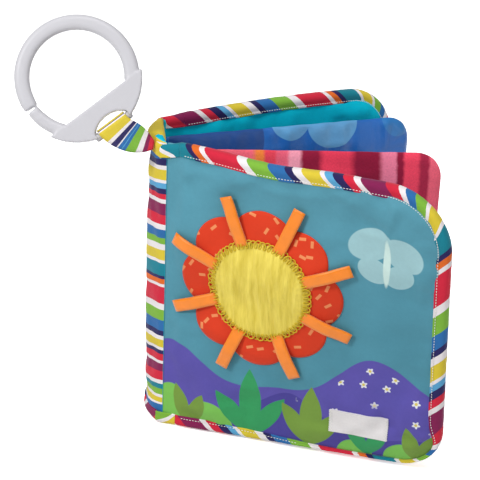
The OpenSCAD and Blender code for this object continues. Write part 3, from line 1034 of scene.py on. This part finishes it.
def dash_mesh(name, items, material, body):
    """Small raised stitches: each item is a middle, a half-length vector, an outward vector and a radius."""
    points, faces = [], []
    for mid, along, out, r in items:
        side = along.cross(out).normalized() * r
        up = out.normalized() * r
        first = len(points)
        for t, k in ((-1.0, 0.25), (-0.75, 0.85), (0.0, 1.0), (0.75, 0.85), (1.0, 0.25)):
            c = mid + along * t + up * (0.25 * (1 - t * t))
            for a in range(THREAD_SIDES):
                angle = a * math.pi / 3
                points.append(c + side * (k * math.cos(angle)) + up * (k * 0.8 * math.sin(angle)))
        last = first + 4 * THREAD_SIDES
        for at in range(first, last, THREAD_SIDES):
            for a in range(THREAD_SIDES):
                b = (a + 1) % THREAD_SIDES
                faces.append((at + a, at + b, at + THREAD_SIDES + b, at + THREAD_SIDES + a))
        faces.append(tuple(first + a for a in reversed(range(THREAD_SIDES))))
        faces.append(tuple(last + a for a in range(THREAD_SIDES)))
    obj = add_mesh(name, points, faces, None, [material])
    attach(obj, body)
    return obj


def tape_stitches(name, panel, outer, start):
    """Stitches near both inner edges of a cover's tape."""
    items = []
    path = panel.path(start + 1.5, 0.5)
    length = path[-1][4] - path[0][4]
    count = int(length / STITCH_PITCH)
    k = 0
    for n in range(count):
        s = path[0][4] + (n + 0.5) * length / count
        while k < len(path) - 2 and path[k + 1][4] < s:
            k += 1
        u, z, a, b, _ = path[k]
        wo = outer_width(panel, u, z)
        h = tape_half(u)
        for side, w in ((-1, wo), (1, TAPE_W - wo)):
            if w < 3.5:
                continue
            d = w - STITCH_INSET
            v = -outer * side * (h * 0.99 + 0.12)
            here = panel.world(u + a * d, v, z + b * d)
            there = panel.world(u + a * d - b * 0.5, v, z + b * d + a * 0.5)
            out = panel.world(u + a * d, -outer * side * (h + 3), z + b * d) - here
            items.append((here, (there - here).normalized() * STITCH_HALF, out, STITCH_R))
    return dash_mesh(name, items, white_thread, panel.body)


tape_stitches("front_stitches", front, -1, 8.0)
tape_stitches("back_stitches", rear, 1, 10.0)


# Flower, tabs and label on the front cover

FLOWER, CENTRE_R, PETAL_R = (50.5, 86.0), 25.0, 15.5


def petal_edge(angle):
    """Radius of the scalloped outline: the union of round petals."""
    best = CENTRE_R + PETAL_R / 3
    for k in range(8):
        a = angle - k * math.pi / 4
        c = CENTRE_R * math.cos(a)
        root = PETAL_R ** 2 - (CENTRE_R * math.sin(a)) ** 2
        if root > 0 and c > 0:
            best = max(best, c + math.sqrt(root))
    return best


def draped(name, radius_of, rings, turns, height_of, material):
    """A round piece laid on the front cover, with a rolled edge that meets the cloth below."""
    points = [(FLOWER[0], 0.0, FLOWER[1])]
    heights = [height_of(0.0, 0.0)]
    for i in range(1, rings + 1):
        t = (i / rings) ** 0.9
        for j in range(turns):
            angle = 2 * math.pi * j / turns
            r = radius_of(angle) * t
            points.append((FLOWER[0] + r * math.cos(angle), 0.0, FLOWER[1] + r * math.sin(angle)))
            heights.append(height_of(t, angle))
    for j in range(turns):
        angle = 2 * math.pi * j / turns
        r = radius_of(angle) - 0.1
        points.append((FLOWER[0] + r * math.cos(angle), 0.0, FLOWER[1] + r * math.sin(angle)))
        heights.append(-0.3)
    out = []
    for (u, _, z), high in zip(points, heights):
        out.append((u, -(even_height(u, z) + high), z))
    faces = [(0, 1 + (j + 1) % turns, 1 + j) for j in range(turns)]
    for i in range(rings):
        for j in range(turns):
            a, b = 1 + i * turns + j, 1 + i * turns + (j + 1) % turns
            faces.append((a, b, b + turns, a + turns))
    first = 1 + rings * turns
    faces.append(tuple(first + j for j in range(turns)))
    uvs = [(u - FLOWER[0] + 60, z - FLOWER[1] + 60) for u, _, z in points]
    return add_mesh(name, out, faces, uvs, [material])


def disc_height(t, angle):
    puff = 0.5 + 1.0 * math.sqrt(max(0.0, 1 - t ** 4)) * soft_step((1 - t) / 0.12)
    ripple = 0.35 * wave(math.cos(angle) * 3, math.sin(angle) * 3, t * 2, 11) * soft_step((t - 0.4) / 0.4)
    return puff + ripple


petals = draped("petal_piece", petal_edge, 22, 240, disc_height, petal_cloth)


def centre_height(t, angle):
    x, y = CENTRE_R * t * math.cos(angle), CENTRE_R * t * math.sin(angle)
    folds = wave(x / 2.6, y / 17.0, 0, 12) * 0.75 + wave(x / 1.3, y / 9.0, 0, 13) * 0.3
    dome = 1.4 + 2.4 * math.sqrt(max(0.0, 1 - t ** 3))
    return dome + folds * soft_step((1 - t) / 0.15) * 1.0


def centre_edge(a):
    return CENTRE_R + 0.35 * math.sin(a * 46)


centre = draped("flower_pad", centre_edge, 34, 276, centre_height, gathered_cloth)


def loop_thread():
    """Looped stitches round the flower's padded middle."""
    points, faces = [], []
    loops, per = 66, 16
    middle, swing, thick = 24.4, 1.75, 0.3
    track = []
    for i in range(loops * per):
        t = i / per
        angle = 2 * math.pi * t / loops
        k = 2 * math.pi * t
        r = middle + swing * math.cos(k)
        angle += 0.045 * math.sin(k)
        u, z = FLOWER[0] + r * math.cos(angle), FLOWER[1] + r * math.sin(angle)
        high = 1.95 + 0.35 * math.cos(k * 0.5) + (1.0 if r < 24 else 0.35 * (26.2 - r)) * 0.8
        track.append(Vector((u, -(even_height(u, z) + high), z)))
    n = len(track)
    for i, p in enumerate(track):
        along = (track[(i + 1) % n] - track[i - 1]).normalized()
        side = along.cross(Vector((0, 1, 0))).normalized()
        up = side.cross(along)
        for a in range(THREAD_SIDES):
            angle = a * math.pi / 3
            points.append(p + side * (thick * math.cos(angle)) + up * (thick * math.sin(angle)))
    for i in range(n):
        here, there = i * THREAD_SIDES, (i + 1) % n * THREAD_SIDES
        for a in range(THREAD_SIDES):
            b = (a + 1) % THREAD_SIDES
            faces.append((here + a, here + b, there + b, there + a))
    return add_mesh("loop_stitches", points, faces, None, [gold_thread])


loops = loop_thread()


def tab_piece(index):
    """A folded ribbon tab, from under the flower's middle to its tip."""
    angle = math.radians(22.5 + (index - 1) * 45)
    c, s = math.cos(angle), math.sin(angle)
    r0, r1, half = 23.6, 48.0, 3.0
    n, rows, uvs = 14, [], []
    rise = 0.7 + 0.5 * abs(wave(index * 3.1, 0.5, 0, 14))
    tilt = 0.5 * wave(index * 2.3, 1.5, 0, 15)
    for i in range(n + 1):
        t = i / n
        r = r0 + (r1 - r0) * t
        row, flat, base = [], [], []
        for k in range(5):
            w = -half + 2 * half * k / 4
            u, z = FLOWER[0] + r * c - w * s, FLOWER[1] + r * s + w * c
            base.append((u, z, w, even_height(u, z, 3.0)))
        lie = 2.1 - 0.9 * soft_step((r - 36) / 9) + rise * math.sin(math.pi * t * 0.8) + 0.4 * t
        level = sum(b[3] for b in base) / 5
        thick = 0.42 + 0.25 * math.sin(math.pi * min(1.0, t * 1.02))
        end = 1 - 0.75 * soft_step((t - 0.93) / 0.07)
        for side, layer in ((1, base), (-1, reversed(base))):
            for u, z, w, _ in layer:
                row.append((u, -(level + lie + side * thick * end + tilt * w * 0.12), z))
                flat.append((r, w))
        rows.append(row)
        uvs.append(flat)
    obj = sweep(f"tab_piece_{index}", rows, uvs, orange_satin)
    for p in obj.data.polygons:
        p.use_smooth = len(p.vertices) == 4
    return obj


tab_pieces = [tab_piece(i) for i in range(1, 9)]

# Left, bottom, width and height of the label on the front cover
LABEL = (85.5, 13.4, 29.0, 12.5)


def label_piece():
    """A bare woven label, with zigzag-cut ends held down by zigzag stitches."""
    u0, z0, w, h = LABEL
    nu, nz = 30, 26
    top, low, uvs = [], [], []
    for i in range(nu + 1):
        for j in range(nz + 1):
            z = z0 + h * j / nz
            tooth = 0.45 * abs(((j / 2) % 1) * 2 - 1)
            u = u0 + tooth + (w - 2 * tooth) * i / nu
            high = even_height(u, z) + 0.25 + 0.18 * wave(u / 5.0, z / 4.0, 0, 16)
            top.append((u, -(high + 0.45), z))
            low.append((u, -(high - 0.4), z))
            uvs.append((u, z))
    rows = [[part[i * (nz + 1):(i + 1) * (nz + 1)] for i in range(nu + 1)] for part in (top, low, uvs)]
    return two_layers("label_piece", *rows, [label_weave], smooth=False)


label = label_piece()


def zigzag():
    """Stitches that hold both ends of the label down."""
    u0, z0, w, h = LABEL
    items = []
    for at in (u0 + 1.2, u0 + w - 1.2):
        n = 14
        for j in range(n):
            za, zb = (z0 + 0.3 + (h - 0.6) * k / n for k in (j, j + 1))
            lean = 0.55 if j % 2 else -0.55
            ua, ub = at + lean, at - lean
            high = even_height(at, (za + zb) / 2) + 0.85
            a, b = Vector((ua, -high, za)), Vector((ub, -high, zb))
            items.append(((a + b) / 2, (b - a) / 2, Vector((0, -1, 0)), 0.16))
    return items


zig = dash_mesh("label_stitches", zigzag(), white_thread, "front_cover")

for piece in (petals, centre, loops, label, zig, *tab_pieces):
    place(piece, front)
for name, panel in (("front_pad", front), ("back_pad", rear), ("red_pad", red), ("blue_pad", blue)):
    place(PADS[name][0], panel)


# Tape over the ends of the spine, and across the hinges

# The end tapes reach TAPE_Y to both sides and stand TAPE_PROUD out of the spine
TAPE_IN, TOP_DROP, TAPE_Y, TAPE_PROUD = 5.2, 2.6, 17.6, 0.65


def end_tape(name, top):
    """The tape on one end of the spine. At the top it sinks towards the front cover."""
    rows, uvs = [], []
    n = 26
    inner_x = SPINE_IN + 0.25
    for i in range(n + 1):
        y = -TAPE_Y + 2 * TAPE_Y * i / n
        outer_x = spine_out(abs(y)) - TAPE_PROUD
        mid, h = (outer_x + inner_x) / 2, max(1.5, (inner_x - outer_x) / 2)
        row, flat = [], []
        for d, v, w in tape_section(TAPE_OUT, TAPE_IN, h):
            puff = 0.15 * wave(y / 5.0, w / 3.0, 0, 21)
            z = COVER_H - d if top else d
            if top:
                z -= TOP_DROP * soft_step((-y - 2) / 16)
            row.append((mid + v - puff, y, z))
            flat.append((58.0 + w * 0.9 - y * 0.12 if top else BACK_AT - y + w - COVER_HINGE_Y, w))
        rows.append(row)
        uvs.append(flat)
    return sweep(name, rows, uvs, tape_cloth)


top_tape = end_tape("spine_top_tape", True)
bottom_tape = end_tape("spine_bottom_tape", False)


def hinge_tape(name, panel, outer, top, upto):
    """The tape where it crosses a cover's hinge line, from the spine's tape to the cover's."""
    sign = -1 if panel is front else 1
    rows, uvs = [], []
    n = 12
    start = Vector(((spine_out(TAPE_Y) - TAPE_PROUD + SPINE_IN + 0.25) / 2, sign * TAPE_Y, 0))
    for i in range(n + 1):
        t = i / n
        u = -1.5 + (upto + 1.5) * t
        height = COVER_H if top else 0.0
        p = panel.world(u, 0, height)
        blend = soft_step(t * 1.6)
        c = start.lerp(Vector((p.x, p.y, 0)), blend)
        q = panel.world(u, 1.0, height)
        across = Vector((q.x - p.x, q.y - p.y, 0)) * outer
        across = Vector((-1, 0, 0)).lerp(across, soft_step(t * 2.2)).normalized()
        h = 1.9 + (tape_half(upto) + 0.1 - 1.9) * t
        row, flat = [], []
        for d, v, w in tape_section(TAPE_OUT, TAPE_IN + (TAPE_OUT - TAPE_IN) * t, h):
            z = (COVER_H - d if top else d) + (p.z - height) * t
            if top and panel is front:
                z -= TOP_DROP * (1 - t)
            row.append(c - across * v + Vector((0, 0, z)))
            if top and panel is front:
                flat.append((u + w - 15.5, w))
            elif panel is front:
                flat.append((BACK_AT + COVER_HINGE_Y + u + w, w))
            else:
                flat.append((BACK_AT - u + w, w))
        rows.append(row)
        uvs.append(flat)
    obj = sweep(name, rows, uvs, tape_cloth)
    a = panel.world(-2.0, 0, 0) * MM
    b = panel.world(4.0, 0, 0) * MM
    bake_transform(obj)
    return obj


hinge_tape("front_top_fold", front, -1, True, 6.6)
hinge_tape("front_bottom_fold", front, -1, False, 6.6)
hinge_tape("back_top_fold", rear, 1, True, 9.6)
hinge_tape("back_bottom_fold", rear, 1, False, 9.6)


# Strap

STRAP_W, STRAP_END_W, STRAP_SIDE, STRAP_RUN, STRAP_BACK = 15.5, 4.0, 9.7, 17.9, -3.9
LOOP_R, STRAP_GAP, STRAP_T = 2.65, 1.0, 0.8
# The ring's own directions and the middle of its bar, as in the part
RING_X = Vector((0.797531, 0.153222, 0.583496))
RING_Y = Vector((-0.595442, 0.355311, 0.720557))
RING_Z = Vector((-0.096917, -0.922105, 0.374607))
BAR = Vector((-20.733, -11.722, 154.699))
SPLIT = (-25.8, 28.75, 0)


def ring_world(p):
    return BAR + RING_X * p[0] + RING_Y * p[1] + RING_Z * p[2]


def strap_piece():
    """Both layers of the strap, in one strip round the bar."""
    track = []
    steps = 26
    for i in range(steps, 0, -1):
        track.append((i / steps, 1))
    loop = 14
    for i in range(loop + 1):
        track.append((0.0, i * math.pi / loop))
    for i in range(1, steps + 1):
        track.append((i / steps, -1))
    rows, uvs = [], []
    points, across, widths = [], [], []
    for k, (t, side) in enumerate(track):
        if t == 0.0:
            points.append(Vector((0, LOOP_R * math.sin(side), LOOP_R * math.cos(side))))
            across.append(Vector((1, 0, 0)))
            widths.append(STRAP_W)
        else:
            a = math.radians(45 * t ** 1.2)
            apart = LOOP_R * (1 - t) ** 1.3 + STRAP_GAP / 2 * t
            points.append(Vector((STRAP_SIDE * t ** 1.5, -STRAP_RUN * t, side * apart + STRAP_BACK * t * t)))
            across.append(Vector((math.cos(a), math.sin(a), 0)))
            widths.append(STRAP_W + (STRAP_END_W - STRAP_W) * t ** 3.6)
    total = 0.0
    lengths = [0.0]
    for k in range(1, len(points)):
        total += (points[k] - points[k - 1]).length
        lengths.append(total)
    middle = total / 2
    m = 9
    for k, p in enumerate(points):
        along = (points[min(k + 1, len(points) - 1)] - points[max(k - 1, 0)]).normalized()
        out = along.cross(across[k]).normalized()
        v = abs(lengths[k] - middle)
        t = track[k][0]
        top, low, flat = [], [], []
        for j in range(m):
            f = -1 + 2 * j / (m - 1)
            crease = 0.35 * t * math.sin(f * 5.0 + 1.0) * widths[k] / STRAP_W
            c = p + across[k] * (f * widths[k] / 2) + out * crease
            top.append(c + out * STRAP_T / 2)
            low.append(c - out * STRAP_T / 2)
            flat.append((f * STRAP_W / 2, v))
        rows.append([ring_world(c) for c in top + low[::-1]])
        uvs.append(flat + flat[::-1])
    return sweep("strap_piece", rows, uvs, strap_cloth)


strap = strap_piece()


# Ring: the part's own shape with its edges rounded, and round ends at the split

def ring_piece():
    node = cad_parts["ring"]
    source = node if hasattr(node, "data") else bpy.data.objects[node]
    made = bmesh.new()
    made.from_mesh(source.data)
    made.transform(source.matrix_world)
    bmesh.ops.remove_doubles(made, verts=made.verts, dist=1e-6)
    mesh = bpy.data.meshes.new("ring_piece")
    made.to_mesh(mesh)
    made.free()
    obj = bpy.data.objects.new("ring_piece", mesh)
    bpy.context.scene.collection.objects.link(obj)
    cut = obj.modifiers.new("cut", "REMESH")
    cut.mode = "VOXEL"
    cut.voxel_size = 0.4 * MM
    even = obj.modifiers.new("even", "SMOOTH")
    even.factor, even.iterations = 0.5, 14
    mesh = applied(obj)
    gap = ring_world(SPLIT) * MM
    ends = obj.vertex_groups.new(name="ends")
    ends.add([v.index for v in mesh.vertices if (v.co - gap).length < 5.5 * MM], 1.0, "REPLACE")
    tips = obj.modifiers.new("tips", "SMOOTH")
    tips.factor, tips.iterations, tips.vertex_group = 0.5, 50, "ends"
    mesh = applied(obj)
    mesh.materials.clear()
    mesh.materials.append(plastic)
    mesh.polygons.foreach_set("material_index", [0] * len(mesh.polygons))
    mesh.polygons.foreach_set("use_smooth", [True] * len(mesh.polygons))
    return obj


ring = ring_piece()


# Riding, and what each piece stands for

def across_hinge(obj, panel, before=-1.0, after=4.0):
    a, b = panel.world(before, 0, 75) * MM, panel.world(after, 0, 75) * MM
    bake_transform(obj)


across_hinge(front_pad, front)
across_hinge(back_pad, rear)
across_hinge(red_pad, red)
across_hinge(blue_pad, blue)

# Each piece with the body it rides on (None for a pad, which rides on no body), its slot and the nodes it
# replaces
PIECES = [
    (front_pad, None, "printed_cloth", "front_cloth", "front_batting", "front_lining"),
    (back_pad, None, "printed_cloth", "back_cloth", "back_batting", "back_lining"),
    (red_pad, None, "red_velour", "red_front", "red_batting", "red_back"),
    (blue_pad, None, "blue_satin", "blue_front", "blue_batting", "blue_back"),
    (spine_body, "spine", "striped_cloth", "spine_cloth", "spine_batting", "spine_lining"),
    (front_tape, "front_cover", "striped_tape", "front_binding"),
    (back_tape, "back_cover", "striped_tape", "back_binding"),
    (top_tape, "spine", "striped_tape", "spine_tape_top"),
    (bottom_tape, "spine", "striped_tape", "spine_tape_bottom"),
    (petals, "front_cover", "red_felt", "petal_disc"),
    (centre, "front_cover", "yellow_gathered_cloth", "flower_centre"),
    (label, "front_cover", "woven_label", "label"),
    (strap, "spine", "striped_ribbon", "strap"),
    (ring, "ring", "ring_plastic", "ring"),
]
PIECES += [(piece, "front_cover", "orange_ribbon", f"tab_{i}") for i, piece in enumerate(tab_pieces, 1)]
for piece, body, slot, *nodes in PIECES:
    if body:
        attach(piece, body)
    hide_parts(*nodes)
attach(loops, "front_cover")

# Floor, backdrop and lights

floor_mat = Mat("floor_paint", uv=None)
grain = floor_mat.noise(3.0, 2.0)
path = floor_mat.nodes.new("ShaderNodeLightPath")
seen = Num(floor_mat, path.outputs["Is Camera Ray"]).high(Num(floor_mat, path.outputs["Is Glossy Ray"]))
seen = seen.high(Num(floor_mat, path.outputs["Is Transmission Ray"]))
tone = grain * 0.01 + 0.72 + seen * 1.1
paint = floor_mat.nodes.new("ShaderNodeBsdfDiffuse")
floor_mat.links.new(floor_mat.vector(tone, tone, tone), paint.inputs["Color"])
glow = floor_mat.nodes.new("ShaderNodeEmission")
floor_mat.links.new((seen * 0.35).socket, glow.inputs["Strength"])
both = floor_mat.nodes.new("ShaderNodeAddShader")
floor_mat.links.new(paint.outputs[0], both.inputs[0])
floor_mat.links.new(glow.outputs[0], both.inputs[1])
floor_mat.links.new(both.outputs[0], floor_mat.nodes["Material Output"].inputs["Surface"])
floor_mat.nodes.remove(floor_mat.bsdf)
FLOOR_HALF, FLOOR_Z = 4000, -0.4
corners = [(x * FLOOR_HALF, y * FLOOR_HALF, FLOOR_Z) for x, y in ((-1, -1), (1, -1), (1, 1), (-1, 1))]
floor = add_mesh("floor", corners, [(0, 1, 2, 3)], None, [floor_mat.material])

world = bpy.context.scene.world or bpy.data.worlds.new("studio")
bpy.context.scene.world = world
world.use_nodes = True
sky = world.node_tree.nodes["Background"]
sky.inputs["Color"].default_value = (1.0, 1.0, 1.0, 1.0)
sky.inputs["Strength"].default_value = 0.36


def area_light(name, place_mm, size, power, aim=(45, 0, 70)):
    data = bpy.data.lights.new(name, "AREA")
    data.shape = "DISK"
    data.size = size
    data.energy = power
    obj = bpy.data.objects.new(name, data)
    obj.location = Vector(place_mm) * MM
    obj.rotation_euler = (Vector(aim) - Vector(place_mm)).to_track_quat("-Z", "Y").to_euler()
    bpy.context.scene.collection.objects.link(obj)


area_light("key", (-760, -560, 760), 0.3, 7.0)
area_light("top", (20, -330, 1100), 0.35, 4.2)
area_light("fill", (800, -700, 400), 0.7, 1.5)

view = bpy.context.scene.view_settings
view.view_transform = "Standard"
